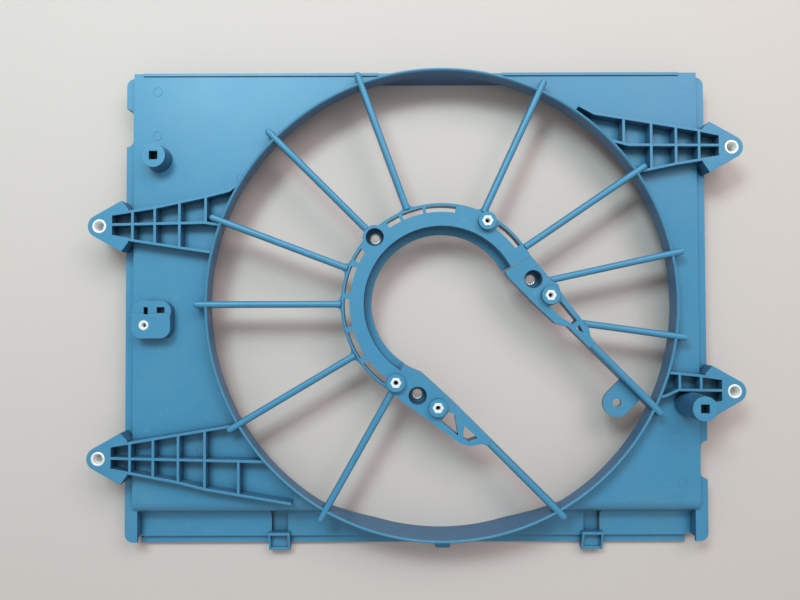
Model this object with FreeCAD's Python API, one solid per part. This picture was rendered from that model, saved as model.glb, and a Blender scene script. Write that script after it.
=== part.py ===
"""Radiator fan shroud: one glass-filled moulding with pressed-in metal limiters and inserts.

Millimetres, +Z up. The shroud lies with its radiator side down and its straight top edge towards
+Y. Heights are given from the radiator plane, where the skirt edges end; each finished piece is
then lowered by MOTOR_SEAT_Z, so the origin is on the fan axis in the face that the motor bolts to.
"""
import math
import os

import FreeCAD
import Part

Vector = FreeCAD.Vector
UP = Vector(0, 0, 1)

# Walls of the moulding
WALL = 2.0              # ring, skirts and end walls
PANEL_T = 2.2           # flat panels and channel floor
RIB_T = 1.8             # stiffening ribs on the panels
EDGE_R = 0.8            # small rounding on moulded rims

# Heights above the radiator plane
PANEL_TOP = 19.0
RAIL_TOP = 15.0
CHANNEL_TOP = 6.0
LIP_TOP = 3.0
RING_TOP = 30.0
EAR_TOP = 28.0
HUB_TOP = 30.0
MOTOR_SEAT_Z = 15.0     # face that the motor flange is pulled against
PAD_TOP = 18.0          # floor of the recesses round the motor limiters
BOSS_TOP = 34.0

# Fan ring
RING_R = 167.0
RING_TOP_LAND = 45.0    # half width of the straight wall that the ring grows out of at the top
RING_FOOT = 30.0        # half width of the floor that the ring grows out of at the bottom
RING_WEB = 6.0          # flat that joins the ring to the land and to the foot

# Outline of the shroud, set out from the ring
LEFT_MARGIN = 61.0
RIGHT_MARGIN = 25.0
RAIL_W = 7.0            # stepped border along both sides
RAIL_END_R = 6.0
RAIL_OVERHANG = 4.0     # border below the ring
CHANNEL_START_IN = 26.0
CHANNEL_FLOOR_IN = 9.0
CHANNEL_END_OUT = 1.0
LIP_OUT = 8.0
LIP_SHORT = 12.0        # lip's right end from the border's edge
LIP_FLAT = 1.2
LIP_STEP = 2.4
TOP_BEAD_H = 1.0
TOP_BEAD_IN_LEFT = 14.0
TOP_BEAD_IN_RIGHT = 20.0
SCALLOP_DEPTH = 5.0
SCALLOP_LENGTH = 28.0
SCALLOP_FROM_TOP = 38.0
SCALLOP_FROM_BOTTOM = 54.0

# Motor mount, open towards ARM_ANGLE
MOTOR_BORE_R = 50.0
LEDGE_W = 7.0           # sunk ledge that the motor seats on
FLANGE_W = 14.0
HUB_FLANGE_T = 3.0
HUB_RIM_DEPTH = 10.0
SLOT_W = 4.3
SLOT_ANGLES = [(81.5, 99.4), (101.4, 114.0), (116.0, 124.4), (145.5, 153.5), (157.0, 173.3),
               (176.8, 193.6), (196.6, 213.6), (216.9, 233.7), (36.8, 53.9)]
HUB_START = 28.0
HUB_END = 238.0
ARM_ANGLE = 315.0

# Spokes and arm beams
SPOKE_ANGLES = [12.2, 34.0, 65.1, 110.0, 135.0, 159.2, 180.0, 210.5, 240.4, 352.0]
SPOKE_W = 4.8
SPOKE_DEPTH = 9.0
SPOKE_TOP = 30.5
SPOKE_OVERRUN = 8.0     # past the ring
ARM_W = 5.4
ARM_DEPTH = 10.0
ARM_OVERRUN = 6.6
ARM_ROOT = 90.0         # run at which a beam leaves its plate
UPPER_ARM_OUT = 3.8     # each arm's centre line, outside or inside the edge of the motor bore
LOWER_ARM_IN = 4.4

# Plates that lead from the hub into the arms: distance along the arm, offset from its centre line
PLATE_T = 9.0
UPPER_PLATE = [(15.2, -7.5), (45.5, -8.0), (66.0, -7.4), (74.0, -2.7), (95.0, -2.7), (95.0, 2.7),
               (90.0, 3.4), (84.5, 7.0), (77.0, 7.6), (60.8, 9.5), (53.0, 11.0), (48.3, 13.5),
               (42.0, 12.4), (27.0, 13.5), (20.8, 14.1)]
LOWER_PLATE = [(11.0, -3.2), (17.0, 1.0), (28.8, 1.6), (54.6, 2.7), (92.0, 2.7), (92.0, -2.7),
               (88.5, -4.4), (84.0, -10.9), (78.0, -14.8), (63.4, -16.8), (51.5, -18.7),
               (39.6, -20.6), (28.5, -22.5), (16.0, -23.6)]
UPPER_WINDOWS = [[(54.8, -1.8), (58.0, 6.4), (75.2, 4.6), (75.2, 0.6), (64.5, -2.0)],
                 [(78.6, 0.2), (78.6, 3.8), (84.5, 1.6)]]
LOWER_WINDOWS = [[(57.2, -13.2), (56.6, -4.6), (60.7, -3.0), (72.8, -11.6)],
                 [(71.2, -3.8), (83.6, -3.4), (80.4, -9.8), (76.0, -10.2)]]

# Metal parts
LIMITER_FROM_RIM = 4.5  # motor limiters, inwards from the hub's rim
MOTOR_LIMITER_ANGLES = [135.0, 15.0, 255.0]
MOTOR_LIMITER_R = 4.0
MOTOR_LIMITER_BORE_R = 2.8
LIMITER_PROUD = 0.3
EAR_LIMITER_R = 5.0
EAR_LIMITER_BORE_R = 3.5
INSERT_R = 3.5
INSERT_BORE_R = 1.65    # tapping size of an M4 thread
INSERT_LENGTH = 10.0
BOSS_R = 6.3
PAD_R = 8.6
PAD_WALL = 2.2
# Screw bosses: distance outwards from the hub's rim, angle
BOSSES = {"hub_insert_top": (-4.8, 61.2), "hub_insert_right": (4.8, 4.4),
          "hub_insert_left": (-7.3, 239.4), "hub_insert_bottom": (1.3, 267.5)}

# Ears that carry the shroud: bolt holes beyond the border, and from its top or bottom edge
EAR_OUT = 13.5
EAR_NOSE_R = 8.0
EAR_WING = 18.0
EAR_FRAME_IN = 9.0      # from the bolt hole to the outer end of the rib frame
EAR_FROM_TOP = {"upper_left": 111.5, "upper_right": 56.5}
EAR_FROM_BOTTOM = {"lower_left": 59.0, "lower_right": 105.0}
# Rib lines of each ear from its bolt hole: distance inwards, distance towards the top edge.
# The cross ribs stand at the listed distances, over the whole frame or one half of it.
EAR_RIBS = {
    "upper_left": {
        "top": [(9.0, 8.4), (38.6, 13.0), (74.5, 20.7), (91.3, 24.9), (98.6, 30.3)],
        "middle": [(9.0, 1.1), (74.3, 2.4), (86.5, 0.5)],
        "bottom": [(9.0, -6.9), (23.1, -10.0), (56.8, -15.3), (81.5, -19.1)],
        "cross": [(23.4, "both"), (39.1, "both"), (56.5, "both"), (75.0, "upper")]},
    "lower_left": {
        "top": [(9.0, 8.9), (98.5, 23.4)],
        "middle": [(9.0, 0.4), (118.5, -2.4)],
        "bottom": [(9.0, -7.6), (56.2, -16.6), (75.0, -21.4), (135.5, -31.8)],
        "cross": [(22.3, "both"), (38.6, "both"), (56.2, "both"), (74.8, "both"), (98.5, "lower")]},
    "upper_right": {
        "top": [(9.0, 9.0), (22.9, 11.9), (96.8, 24.1), (107.4, 29.8)],
        "middle": [(9.0, 1.3), (72.6, 1.7), (85.5, 5.0)],
        "bottom": [(9.0, -6.9), (39.4, -11.8), (70.5, -18.3)],
        "cross": [(23.0, "both"), (39.3, "both"), (56.8, "both"), (76.2, "upper")]},
    "lower_right": {
        "top": [(9.0, 8.8), (24.2, 11.0), (50.5, 13.6)],
        "middle": [(9.0, 0.6), (39.4, 1.1), (47.3, -2.6), (55.5, -5.0)],
        "bottom": [(9.0, -7.6), (21.5, -9.6)],
        "cross": [(23.6, "upper"), (38.6, "upper")]},
}

# Snap clips and the locating tab on the bottom edge
CLIP_FROM_LEFT = 110.0
CLIP_FROM_RIGHT = 81.5
CLIP_W = 15.6
CLIP_WINDOW_W = 11.8
CLIP_WINDOW_L = 19.0    # from the channel's end wall up the slope
CLIP_T = 2.0            # tongue, base, bar and nose of the clip
CLIP_CHEEK_T = 1.6
CLIP_REACH = 4.5        # nose beyond the lip's edge
CLIP_TOP = 10.0
CLIP_NOSE_TOP = 6.5
CLIP_BARB_LOW = 0.5
TAB_X = 1.5
TAB_W = 11.0
TAB_REACH = 4.5
TAB_R = 1.0

# Posts: in from the border's edge, in from the top or bottom of the ring, top height
POST_R = 8.4
POST_BASE_R = 9.2
POST_SOCKET = 6.0
POST_SOCKET_DEPTH = 8.0
UPPER_POST = (25.4, 61.9, 31.0)
LOWER_POST = (16.1, 95.5, 46.0)

# Block that carries the cable connector: in from the left edge, and its two ends
BRACKET_IN = 9.4
BRACKET_W = 27.3
BRACKET_LOW_Y = -23.7
BRACKET_L = 26.3
BRACKET_R = 7.0
BRACKET_TOP = 28.0
BRACKET_LEDGE_L = 9.4
BRACKET_LEDGE_DROP = 1.5
BRACKET_INSERT_IN = (8.7, 9.3)
# Latch slots in the block: place from its lower left corner, width, length
BRACKET_SLOTS = [(9.6, 19.5, 3.0, 5.0), (20.1, 19.9, 5.5, 4.2)]

# Tab for the cable clip on the upper arm
CABLE_TAB_FROM_END = 27.2
CABLE_TAB_REACH = 15.8
CABLE_TAB_R = 10.0
CABLE_TAB_HOLE_R = 3.0
CABLE_TAB_T = 2.5

# What follows from the sizes above
PANEL_UNDER = PANEL_TOP - PANEL_T
RAIL_UNDER = RAIL_TOP - PANEL_T
CHANNEL_UNDER = CHANNEL_TOP - PANEL_T
RING_IN_R = RING_R - WALL
LEFT_EDGE = -RING_R - LEFT_MARGIN
RIGHT_EDGE = RING_R + RIGHT_MARGIN
LEFT_PANEL_X = LEFT_EDGE + RAIL_W + WALL
RIGHT_PANEL_X = RIGHT_EDGE - RAIL_W - WALL
CHANNEL_START_Y = CHANNEL_START_IN - RING_R
CHANNEL_FLOOR_Y = CHANNEL_FLOOR_IN - RING_R
CHANNEL_END_Y = -RING_R - CHANNEL_END_OUT
LIP_EDGE_Y = -RING_R - LIP_OUT
RAIL_BOTTOM_Y = -RING_R - RAIL_OVERHANG
HUB_STEP_R = MOTOR_BORE_R + LEDGE_W
HUB_R = HUB_STEP_R + FLANGE_W
MOTOR_PCD = 2 * (HUB_R - LIMITER_FROM_RIM)
SLOT_OUT_R = HUB_R - WALL
SLOT_IN_R = SLOT_OUT_R - SLOT_W
SPOKE_END_R = RING_R + SPOKE_OVERRUN
UPPER_ARM_V = MOTOR_BORE_R + UPPER_ARM_OUT
LOWER_ARM_V = LOWER_ARM_IN - MOTOR_BORE_R
CLIP_WINDOW_Y = CHANNEL_END_Y + CLIP_WINDOW_L
CLIP_PLACES = {"snap_clip_left": LEFT_EDGE + CLIP_FROM_LEFT,
               "snap_clip_right": RIGHT_EDGE - CLIP_FROM_RIGHT}
EAR_HOLES = {"upper_left": (LEFT_EDGE - EAR_OUT, RING_R - EAR_FROM_TOP["upper_left"]),
             "lower_left": (LEFT_EDGE - EAR_OUT, EAR_FROM_BOTTOM["lower_left"] - RING_R),
             "upper_right": (RIGHT_EDGE + EAR_OUT, RING_R - EAR_FROM_TOP["upper_right"]),
             "lower_right": (RIGHT_EDGE + EAR_OUT, EAR_FROM_BOTTOM["lower_right"] - RING_R)}
POSTS = {"post_upper_left": (LEFT_EDGE + UPPER_POST[0], RING_R - UPPER_POST[1], UPPER_POST[2]),
         "post_lower_right": (RIGHT_EDGE - LOWER_POST[0], LOWER_POST[1] - RING_R, LOWER_POST[2])}
ROOT2 = math.sqrt(2.0)
BIG = 2 * SPOKE_END_R   # longer than any piece, for cutters


# ---------------------------------------------------------------- small shape tools

def prism(points, low, high):
    """Straight-walled solid over a plan outline."""
    corners = [Vector(x, y, low) for x, y in points]
    face = Part.Face(Part.makePolygon(corners + corners[:1]))
    return face.extrude(UP * (high - low))


def rounded_prism(points, radii, low, high):
    """Prism whose plan corners are turned with the given radii; 0 leaves a corner sharp."""
    edges = []
    count = len(points)
    cuts = []
    for i in range(count):
        corner = Vector(*points[i], low)
        before = (Vector(*points[i - 1], low) - corner).normalize()
        after = (Vector(*points[(i + 1) % count], low) - corner).normalize()
        radius = radii[i]
        if radius == 0:
            cuts.append((corner, corner, corner))
            continue
        half = before.getAngle(after) / 2
        back = radius / math.tan(half)
        middle = (before + after).normalize()
        centre = corner + middle * (radius / math.sin(half))
        cuts.append((corner + before * back, centre - middle * radius, corner + after * back))
    for i in range(count):
        start, mid, end = cuts[i]
        if not start.isEqual(end, 1e-6):
            edges.append(Part.Arc(start, mid, end).toShape())
        following = cuts[(i + 1) % count][0]
        if not end.isEqual(following, 1e-6):
            edges.append(Part.LineSegment(end, following).toShape())
    face = Part.Face(Part.Wire(edges))
    return face.extrude(UP * (high - low))


def disc(x, y, radius, low, high):
    return Part.makeCylinder(radius, high - low, Vector(x, y, low))


def box(x0, x1, y0, y1, z0, z1):
    return Part.makeBox(x1 - x0, y1 - y0, z1 - z0, Vector(x0, y0, z0))


def slab(start, end, width, low, high):
    """Straight rib between two plan points."""
    (x0, y0), (x1, y1) = start, end
    length = math.hypot(x1 - x0, y1 - y0)
    dx, dy = -(y1 - y0) / length * width / 2, (x1 - x0) / length * width / 2
    return prism([(x0 + dx, y0 + dy), (x1 + dx, y1 + dy), (x1 - dx, y1 - dy), (x0 - dx, y0 - dy)],
                 low, high)


def rib_line(points, width, low, high):
    """Rib that follows a chain of plan points, turned round at each bend."""
    parts = [slab(a, b, width, low, high) for a, b in zip(points, points[1:])]
    parts += [disc(x, y, width / 2, low, high) for x, y in points[1:-1]]
    return join(parts)


def capsule(start, end, radius, low, high):
    ends = [disc(*start, radius, low, high), disc(*end, radius, low, high)]
    return join([slab(start, end, 2 * radius, low, high)] + ends)


def sector(inner, outer, start, end, low, high):
    """Part of a flat ring between two angles in degrees."""
    span = end - start
    whole = Part.makeCylinder(outer, high - low, Vector(0, 0, low), UP, span)
    whole.rotate(Vector(), UP, start)
    return whole.cut(disc(0, 0, inner, low - 1, high + 1))


def join(shapes):
    first, *rest = shapes
    return first.multiFuse(rest).removeSplitter() if rest else first


def polar(radius, angle):
    return radius * math.cos(math.radians(angle)), radius * math.sin(math.radians(angle))


def along_arm(run, offset):
    """Plan point from the distance along the arms and the offset across them."""
    return (run + offset) / ROOT2, (offset - run) / ROOT2


def save(name, shape):
    solids = shape.Solids
    result = solids[0] if len(solids) == 1 else Part.makeCompound(solids)
    result = result.translated(Vector(0, 0, -MOTOR_SEAT_Z))
    result.exportStep(f"parts/{name}.step")
    print(f"{name}: {len(solids)} solid(s), valid {result.isValid()}, {result.Volume / 1000:.2f} cm3")


# ---------------------------------------------------------------- panels and border

def channel_section(x0, x1):
    """Panel edge that sweeps down in an S to the sunk channel floor, between two x values."""
    run = CHANNEL_START_Y - CHANNEL_FLOOR_Y
    drop = PANEL_TOP - CHANNEL_TOP
    radius = (run ** 2 + drop ** 2) / (4 * drop)
    crest = Vector(x0, CHANNEL_START_Y, PANEL_TOP - radius)
    valley = Vector(x0, CHANNEL_FLOOR_Y, CHANNEL_TOP + radius)
    turn = (valley - crest).normalize()
    bend = math.atan2(turn.z, turn.y)

    def bow(centre, reach, angle):
        return centre + Vector(0, math.cos(angle), math.sin(angle)) * reach

    quarter = math.pi / 2
    crest_mid = (quarter + bend) / 2
    valley_mid = (bend - math.pi - quarter) / 2
    top = [bow(crest, radius, quarter), bow(crest, radius, crest_mid), bow(crest, radius, bend)]
    low = [bow(valley, radius, bend - math.pi), bow(valley, radius, valley_mid),
           bow(valley, radius, -quarter)]
    inner, outer = radius - PANEL_T, radius + PANEL_T
    under = [bow(valley, outer, -quarter), bow(valley, outer, valley_mid),
             bow(valley, outer, bend - math.pi)]
    back = [bow(crest, inner, bend), bow(crest, inner, crest_mid), bow(crest, inner, quarter)]
    floor_end = Vector(x0, CHANNEL_END_Y, CHANNEL_TOP)
    floor_back = Vector(x0, CHANNEL_END_Y, CHANNEL_UNDER)
    edges = [Part.Arc(*top).toShape(), Part.Arc(*low).toShape(),
             Part.LineSegment(low[-1], floor_end).toShape(),
             Part.LineSegment(floor_end, floor_back).toShape(),
             Part.LineSegment(floor_back, under[0]).toShape(),
             Part.Arc(*under).toShape(), Part.Arc(*back).toShape(),
             Part.LineSegment(back[-1], top[0]).toShape()]
    return Part.Face(Part.Wire(edges)).extrude(Vector(x1 - x0, 0, 0))


def make_panels():
    opening = disc(0, 0, RING_R, 0, BIG)
    spans = {"panel_left": (LEFT_PANEL_X, -RING_TOP_LAND), "panel_right": (RING_TOP_LAND, RIGHT_PANEL_X)}
    for name, (x0, x1) in spans.items():
        sheet = box(x0, x1, CHANNEL_START_Y, RING_IN_R, PANEL_UNDER, PANEL_TOP)
        save(name, sheet.cut(opening))


def make_top_walls():
    """Straight top wall with the low bead that closes against the upper rail."""
    walls = {"top_wall_left": (LEFT_EDGE + RAIL_W, -RING_TOP_LAND, LEFT_EDGE + TOP_BEAD_IN_LEFT),
             "top_wall_right": (RING_TOP_LAND, RIGHT_EDGE - RAIL_W, RIGHT_EDGE - TOP_BEAD_IN_RIGHT)}
    for name, (x0, x1, bead_end) in walls.items():
        wall = box(x0, x1, RING_IN_R, RING_R, 0, PANEL_TOP)
        bead_x0, bead_x1 = sorted((bead_end, x1 if bead_end < 0 else x0))
        bead = box(bead_x0, bead_x1, RING_IN_R, RING_R, PANEL_TOP, PANEL_TOP + TOP_BEAD_H)
        save(name, join([wall, bead]))
    ring = disc(0, 0, RING_R, 0, BIG)
    hollow = disc(0, 0, RING_IN_R, 0, BIG)
    land = box(-RING_TOP_LAND, RING_TOP_LAND, RING_IN_R, RING_R, 0, PANEL_UNDER).cut(hollow)
    web = box(-RING_TOP_LAND, RING_TOP_LAND, RING_IN_R - RING_WEB, RING_R, PANEL_UNDER, PANEL_TOP)
    save("top_wall_centre", join([land, web.cut(ring)]))


def make_rail(side, edge, inward, scallop_y):
    """Stepped side border with its skirt, the scallop and the channel's end wall."""
    top_y = RING_IN_R

    def at(depth):
        return edge + inward * depth

    step_in = RAIL_W + WALL
    profile = [(0, 0), (WALL, 0), (WALL, RAIL_UNDER), (step_in, RAIL_UNDER), (step_in, PANEL_TOP),
               (RAIL_W, PANEL_TOP), (RAIL_W, RAIL_TOP), (0, RAIL_TOP)]
    corners = [Vector(at(d), CHANNEL_START_Y, z) for d, z in profile]
    face = Part.Face(Part.makePolygon(corners + corners[:1]))
    upper = face.extrude(Vector(0, top_y - CHANNEL_START_Y, 0))
    low_profile = [(0, 0), (WALL, 0), (WALL, RAIL_UNDER), (step_in, RAIL_UNDER), (step_in, RAIL_TOP),
                   (0, RAIL_TOP)]
    corners = [Vector(at(d), RAIL_BOTTOM_Y, z) for d, z in low_profile]
    face = Part.Face(Part.makePolygon(corners + corners[:1]))
    lower = face.extrude(Vector(0, CHANNEL_START_Y - RAIL_BOTTOM_Y, 0))
    x0, x1 = sorted((at(RAIL_W), at(step_in)))
    shoulder = channel_section(x0, x1)
    end_wall = box(x0, x1, CHANNEL_END_Y, CHANNEL_START_Y, CHANNEL_UNDER, RAIL_TOP)
    rail = join([upper, lower, shoulder, end_wall])
    outline_x0, outline_x1 = sorted((at(0), at(step_in)))
    outline = [(outline_x0, RAIL_BOTTOM_Y), (outline_x1, RAIL_BOTTOM_Y), (outline_x1, top_y),
               (outline_x0, top_y)]
    turned = [RAIL_END_R, 0, 0, RAIL_END_R] if inward > 0 else [0, RAIL_END_R, RAIL_END_R, 0]
    rail = rail.common(rounded_prism(outline, turned, 0, BIG))
    reach = SCALLOP_LENGTH / 2 - SCALLOP_DEPTH
    ends = (edge, scallop_y - reach), (edge, scallop_y + reach)
    bite = capsule(*ends, SCALLOP_DEPTH, -1, BIG)
    lining = capsule(*ends, SCALLOP_DEPTH + WALL, 0, RAIL_TOP)
    strip = box(*sorted((at(0), at(RAIL_W))), scallop_y - SCALLOP_LENGTH, scallop_y + SCALLOP_LENGTH,
                0, RAIL_TOP)
    rail = join([rail, lining.common(strip)]).cut(bite)
    shelf = box(-BIG, BIG, -BIG, BIG, RAIL_UNDER, BIG)
    raised = box(*sorted((at(RAIL_W), at(step_in))), RAIL_BOTTOM_Y, CHANNEL_START_Y, 0, BIG)
    border = rail.common(join([shelf, raised]))
    save(f"side_rail_{side}", border)
    save(f"skirt_{side}", rail.cut(border))


def make_channel():
    ring = disc(0, 0, RING_R, 0, BIG)
    windows = join([clip_window(x) for x in CLIP_PLACES.values()])
    save("channel_left", channel_section(LEFT_PANEL_X, -RING_FOOT).cut(ring).cut(windows))
    save("channel_right", channel_section(RING_FOOT, RIGHT_PANEL_X).cut(ring).cut(windows))
    section = [(CHANNEL_END_Y, CHANNEL_UNDER), (CHANNEL_END_Y, CHANNEL_TOP),
               (CHANNEL_END_Y - LIP_FLAT, CHANNEL_TOP), (CHANNEL_END_Y - LIP_STEP, LIP_TOP),
               (LIP_EDGE_Y, LIP_TOP), (LIP_EDGE_Y, 0), (CHANNEL_END_Y, 0)]
    corners = [Vector(LEFT_PANEL_X, y, z) for y, z in section]
    face = Part.Face(Part.makePolygon(corners + corners[:1]))
    lip = face.extrude(Vector(RIGHT_EDGE - LIP_SHORT - LEFT_PANEL_X, 0, 0))
    tail = box(LEFT_EDGE + RAIL_W, LEFT_PANEL_X, LIP_EDGE_Y, RAIL_BOTTOM_Y, 0, LIP_TOP)
    seats = join([clip_seat(x) for x in CLIP_PLACES.values()])
    save("bottom_lip", join([lip, tail]).cut(seats))


# ---------------------------------------------------------------- snap clips on the bottom edge

def clip_window(centre):
    """Slot through the channel slope, which lets the mould form the clip behind it."""
    half, window = CLIP_W / 2, CLIP_WINDOW_W / 2
    slot = box(centre - window, centre + window, CHANNEL_END_Y, CLIP_WINDOW_Y, -1, BIG)
    bar_seat = box(centre - half, centre + half, CHANNEL_END_Y, CHANNEL_END_Y + CLIP_T, -1, BIG)
    return join([slot, bar_seat])


def clip_seat(centre):
    """Flat on the lip where the clip's base stands."""
    half = CLIP_W / 2
    return box(centre - half, centre + half, LIP_EDGE_Y - 1, CHANNEL_END_Y, LIP_TOP, BIG)


def make_clip(name, centre):
    """Hook with two cheeks, a cross bar and a nose over the lip's edge, on a flat tongue."""
    half = CLIP_W / 2
    window = CLIP_WINDOW_W / 2
    nose_y = LIP_EDGE_Y - CLIP_REACH
    base_top = LIP_TOP + CLIP_T
    tongue = box(centre - window, centre + window, CHANNEL_END_Y, CLIP_WINDOW_Y, 0, CLIP_T)
    bar = box(centre - half, centre + half, CHANNEL_END_Y, CHANNEL_END_Y + CLIP_T, 0, CLIP_TOP)
    base = box(centre - half, centre + half, nose_y, CHANNEL_END_Y, LIP_TOP, base_top)
    side = [(CHANNEL_END_Y + CLIP_T, base_top), (CHANNEL_END_Y + CLIP_T, CLIP_TOP),
            (CHANNEL_END_Y, CLIP_TOP), (nose_y, CLIP_NOSE_TOP), (nose_y, base_top)]
    parts = [tongue, bar, base]
    for x in (centre - half, centre + half - CLIP_CHEEK_T):
        corners = [Vector(x, y, z) for y, z in side]
        face = Part.Face(Part.makePolygon(corners + corners[:1]))
        parts.append(face.extrude(Vector(CLIP_CHEEK_T, 0, 0)))
    barb = [(LIP_EDGE_Y, CLIP_BARB_LOW), (LIP_EDGE_Y, LIP_TOP), (nose_y + CLIP_T, base_top),
            (nose_y + CLIP_T, CLIP_NOSE_TOP), (nose_y, CLIP_NOSE_TOP), (nose_y, LIP_TOP)]
    corners = [Vector(centre - half, y, z) for y, z in barb]
    nose = Part.Face(Part.makePolygon(corners + corners[:1])).extrude(Vector(CLIP_W, 0, 0))
    save(name, join(parts + [nose]))


def make_locating_tab():
    tab = [(TAB_X - TAB_W / 2, LIP_EDGE_Y), (TAB_X + TAB_W / 2, LIP_EDGE_Y),
           (TAB_X + TAB_W / 2, LIP_EDGE_Y - TAB_REACH), (TAB_X - TAB_W / 2, LIP_EDGE_Y - TAB_REACH)]
    save("locating_tab", rounded_prism(tab, [0, 0, TAB_R, TAB_R], 0, LIP_TOP))


# ---------------------------------------------------------------- spokes, arms and fan ring

def bar_shape(width, depth, start, end):
    """Spoke along +X: flat sides, half-round top and a rounded outer end."""
    radius = width / 2
    low, shoulder = SPOKE_TOP - depth, SPOKE_TOP - radius
    corners = [Vector(start, -radius, shoulder), Vector(start, -radius, low), Vector(start, radius, low),
               Vector(start, radius, shoulder)]
    edges = [Part.LineSegment(a, b).toShape() for a, b in zip(corners, corners[1:])]
    edges.append(Part.Arc(corners[-1], Vector(start, 0, SPOKE_TOP), corners[0]).toShape())
    straight = Part.Face(Part.Wire(edges)).extrude(Vector(end - radius - start, 0, 0))
    foot = disc(end - radius, 0, radius, low, shoulder)
    cap = Part.makeSphere(radius, Vector(end - radius, 0, shoulder))
    return join([straight, foot, cap])


def spoke(angle, start):
    shape = bar_shape(SPOKE_W, SPOKE_DEPTH, start, SPOKE_END_R)
    shape.rotate(Vector(), UP, angle)
    return shape


def arm_beam(offset):
    """Beam beside the motor opening, along ARM_ANGLE, that ends just past the ring."""
    end = math.sqrt((RING_R + ARM_OVERRUN) ** 2 - offset ** 2)
    shape = bar_shape(ARM_W, ARM_DEPTH, ARM_ROOT, end)
    shape.translate(Vector(0, offset, 0))
    shape.rotate(Vector(), UP, ARM_ANGLE)
    return shape


def make_ring(crossing):
    """Fan ring with its straight land at the top, its foot at the bottom and notches for spokes."""
    section = [(RING_IN_R, 0), (RING_R, 0), (RING_R, RING_TOP - EDGE_R), (RING_R - EDGE_R, RING_TOP),
               (RING_IN_R + EDGE_R, RING_TOP), (RING_IN_R, RING_TOP - EDGE_R)]
    corners = [Vector(r, 0, z) for r, z in section]
    wall = Part.Face(Part.makePolygon(corners + corners[:1])).revolve(Vector(), UP, 360)
    above_panel = box(-BIG, BIG, CHANNEL_START_Y, BIG, PANEL_UNDER, BIG)
    below_slope = box(-BIG, BIG, -BIG, CHANNEL_FLOOR_Y, 0, BIG)
    slope = prism([(CHANNEL_FLOOR_Y, 0), (CHANNEL_START_Y, PANEL_UNDER), (CHANNEL_START_Y, BIG),
                   (CHANNEL_FLOOR_Y, BIG)], -BIG, BIG)
    slope.rotate(Vector(), Vector(1, 1, 1), 120)
    wall = wall.common(join([above_panel, slope, below_slope]))
    foot = box(-RING_FOOT, RING_FOOT, CHANNEL_END_Y, CHANNEL_END_Y + RING_WEB, CHANNEL_UNDER,
               CHANNEL_TOP)
    ring = join([wall, foot.cut(disc(0, 0, RING_IN_R, 0, BIG))])
    save("fan_ring", ring.cut(join(crossing)))


# ---------------------------------------------------------------- motor mount

def arm_prism(points, centre_line, low, high):
    """Plate over an outline given along an arm and across its centre line."""
    return prism([along_arm(run, centre_line + offset) for run, offset in points], low, high)


def hub_ring():
    """Stepped C: sunk ledge round the motor, riser, slotted flange and outer rim."""
    ledge_top = MOTOR_SEAT_Z + PANEL_T
    flange_under = HUB_TOP - HUB_FLANGE_T
    section = [(MOTOR_BORE_R, MOTOR_SEAT_Z), (HUB_STEP_R, MOTOR_SEAT_Z), (HUB_STEP_R, flange_under),
               (HUB_R - WALL, flange_under), (HUB_R - WALL, HUB_TOP - HUB_RIM_DEPTH),
               (HUB_R, HUB_TOP - HUB_RIM_DEPTH), (HUB_R, HUB_TOP - EDGE_R), (HUB_R - EDGE_R, HUB_TOP),
               (HUB_STEP_R - WALL, HUB_TOP), (HUB_STEP_R - WALL, ledge_top), (MOTOR_BORE_R, ledge_top)]
    corners = [Vector(r, 0, z) for r, z in section]
    face = Part.Face(Part.makePolygon(corners + corners[:1]))
    ring = face.revolve(Vector(), UP, HUB_END - HUB_START)
    ring.rotate(Vector(), UP, HUB_START)
    slots = [sector(SLOT_IN_R, SLOT_OUT_R, a, b, flange_under - 1, HUB_TOP + 1) for a, b in SLOT_ANGLES]
    return ring.cut(join(slots))


def boss_places():
    return {name: polar(HUB_R + out, angle) for name, (out, angle) in BOSSES.items()}


def pads_and_bosses():
    """Solid seats for limiters and inserts, and what is hollowed out of them."""
    seats, hollows = [], []
    for angle in MOTOR_LIMITER_ANGLES:
        x, y = polar(MOTOR_PCD / 2, angle)
        seats.append(disc(x, y, PAD_R, MOTOR_SEAT_Z, HUB_TOP))
        hollows.append(disc(x, y, PAD_R - PAD_WALL, PAD_TOP, BIG))
        hollows.append(disc(x, y, MOTOR_LIMITER_R, 0, BIG))
    for x, y in boss_places().values():
        seats.append(disc(x, y, BOSS_R, BOSS_TOP - INSERT_LENGTH - WALL, BOSS_TOP))
        hollows.append(disc(x, y, INSERT_R, BOSS_TOP - INSERT_LENGTH, BIG))
    return seats, hollows


def make_motor_mount():
    """C-shaped hub, then the two plates that lead from it into the arms."""
    seats, hollows = pads_and_bosses()
    hollow = join(hollows)
    wedge = sector(0.01, 2 * HUB_R, HUB_START, HUB_END, 0, BIG)
    motor_clear = disc(0, 0, MOTOR_BORE_R, 0, BIG)
    hub_seats = join(seats).common(wedge)
    hub = join([hub_ring()] + hub_seats.Solids).cut(hollow)
    core = disc(0, 0, HUB_STEP_R, 0, BIG)
    save("motor_mount", hub.common(core))
    save("hub_flange", hub.cut(core))
    low = HUB_TOP - PLATE_T
    outlines = []
    for name, line, points, windows in (
            ("arm_plate_upper", UPPER_ARM_V, UPPER_PLATE, UPPER_WINDOWS),
            ("arm_plate_lower", LOWER_ARM_V, LOWER_PLATE, LOWER_WINDOWS)):
        plate = arm_prism(points, line, low, HUB_TOP)
        own = [seat for seat in seats if seat.common(plate).Volume > 1]
        gaps = join([arm_prism(window, line, 0, BIG) for window in windows])
        save(name, join([plate.cut(gaps)] + own).cut(hollow).cut(wedge).cut(motor_clear))
        outlines.append(arm_prism(points, line, 0, BIG))
    outline = join([disc(0, 0, HUB_R, 0, BIG).common(wedge)] + outlines
                   + [grow_up(seat) for seat in seats])
    return outline


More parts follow.
